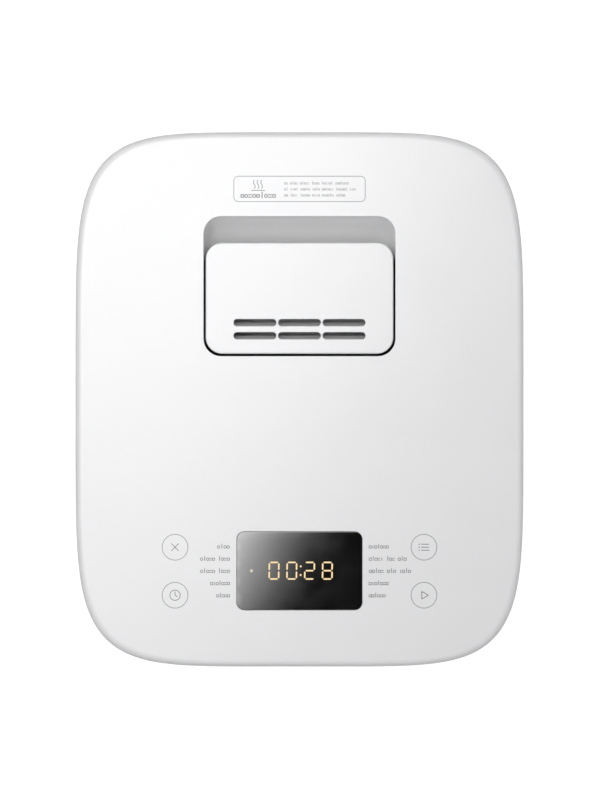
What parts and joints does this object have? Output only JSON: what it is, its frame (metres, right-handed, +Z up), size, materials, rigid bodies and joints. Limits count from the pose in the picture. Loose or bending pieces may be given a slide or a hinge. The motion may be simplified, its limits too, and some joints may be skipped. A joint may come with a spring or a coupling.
{
  "type": "rice cooker",
  "caption": "Electric rice cooker: rounded rectangular body, hinged lid with display window and lift-out steam valve, push-button latch, coated inner pot.",
  "frame": {"origin": "on the table surface, under the middle of the body", "axes": "+Z up, +Y from the display side to the hinge side, +X to the right as seen from the front"},
  "size_m": [0.27, 0.322, 0.23],
  "materials": {
    "gloss_white": "glossy white moulded plastic",
    "satin_white": "satin white moulded plastic",
    "grey_plastic": "fine-grained grey moulded plastic",
    "black_plastic": "matt black moulded plastic",
    "smoked_window": "polished smoked plastic",
    "rubber": "matt dark rubber",
    "silicone": "translucent pale silicone",
    "steel": "plated steel",
    "galvanised": "galvanised sheet steel",
    "aluminium": "spun and brushed aluminium",
    "pot_coating": "speckled dark non-stick coating on aluminium",
    "circuit_board": "green solder resist on glass-fibre board",
    "cable_sheath": "matt pale sheath"
  },
  "bodies": {
    "body": {"outer_housing": "gloss_white", "base_plate": "satin_white", "foot_front_left": "rubber", "foot_front_right": "rubber", "foot_rear_left": "rubber", "foot_rear_right": "rubber", "base_screw_front_left": "steel", "base_screw_front_right": "steel", "base_screw_rear_left": "steel", "base_screw_rear_right": "steel", "top_frame": "satin_white", "heater_liner": "galvanised", "heating_plate": "aluminium", "side_heater_band": "grey_plastic", "sensor_housing": "grey_plastic", "sensor_spring": "steel", "power_board": "circuit_board", "transformer": "galvanised", "relay": "black_plastic", "capacitor": "black_plastic", "power_inlet": "black_plastic", "inlet_lead": "cable_sheath", "latch_pin": "steel", "button_spring": "steel", "hinge_shaft": "steel", "hinge_bracket_left": "galvanised", "hinge_bracket_right": "galvanised", "hinge_spring_left": "steel", "hinge_spring_right": "steel"},
    "pot": {"inner_pot": "pot_coating"},
    "sensor": {"sensor_cap": "aluminium"},
    "button": {"release_button": "gloss_white"},
    "latch": {"latch_lever": "grey_plastic"},
    "lid": {"lid_cover": "gloss_white", "lid_frame": "satin_white", "hinge_block": "gloss_white", "lid_catch": "steel", "inner_lid": "aluminium", "inner_lid_gasket": "silicone", "display_window": "smoked_window", "display_board": "circuit_board", "digit_module": "black_plastic", "touch_spring_left_front": "steel", "touch_spring_left_rear": "steel", "touch_spring_right_front": "steel", "touch_spring_right_rear": "steel", "lid_sensor": "aluminium", "steam_well": "grey_plastic", "lid_screw_front_left": "steel", "lid_screw_front_right": "steel", "lid_screw_rear_left": "steel", "lid_screw_rear_right": "steel"},
    "clip": {"inner_lid_clip": "grey_plastic"},
    "valve": {"steam_cap": "gloss_white", "steam_cup": "grey_plastic", "steam_seal": "silicone"},
    "ball": {"steam_ball": "silicone"}
  },
  "joints": [
    {"name": "lid_hinge", "type": "hinge", "parent": "body", "child": "lid", "pos_m": [0, 0.1525, 0.1535], "axis": [-1, 0, 0], "range_deg": [0, 88]},
    {"name": "button_press", "type": "slide", "parent": "body", "child": "button", "axis": [0, 1, 0], "range_m": [0, 0.003], "stiffness_N_per_m": 300, "springref_m": -0.002, "deforming": ["button_spring"]},
    {"name": "latch_turn", "type": "hinge", "parent": "body", "child": "latch", "pos_m": [0, -0.146, 0.12], "axis": [-1, 0, 0], "range_deg": [0, 4.8]},
    {"name": "sensor_press", "type": "slide", "parent": "body", "child": "sensor", "axis": [0, 0, -1], "range_m": [0, 0.003], "stiffness_N_per_m": 300, "springref_m": -0.004, "deforming": ["sensor_spring"]},
    {"name": "pot_turn", "type": "hinge", "parent": "body", "child": "pot", "pos_m": [0, 0.002, 0.045], "axis": [0, 0, 1], "continuous": true},
    {"name": "clip_slide", "type": "slide", "parent": "lid", "child": "clip", "axis": [0, -1, 0], "range_m": [0, 0.0025], "stiffness_N_per_m": 200, "springref_m": -0.002},
    {"name": "valve_lift", "type": "slide", "parent": "lid", "child": "valve", "axis": [0, 0, 1], "range_m": [0, 0.05]},
    {"name": "ball_lift", "type": "slide", "parent": "valve", "child": "ball", "axis": [0, 0, 1], "range_m": [0, 0.003]}
  ],
  "couplings": [
    {"joint": "latch_turn", "follows": "button_press", "rad_per_m": 27.78}
  ]
}
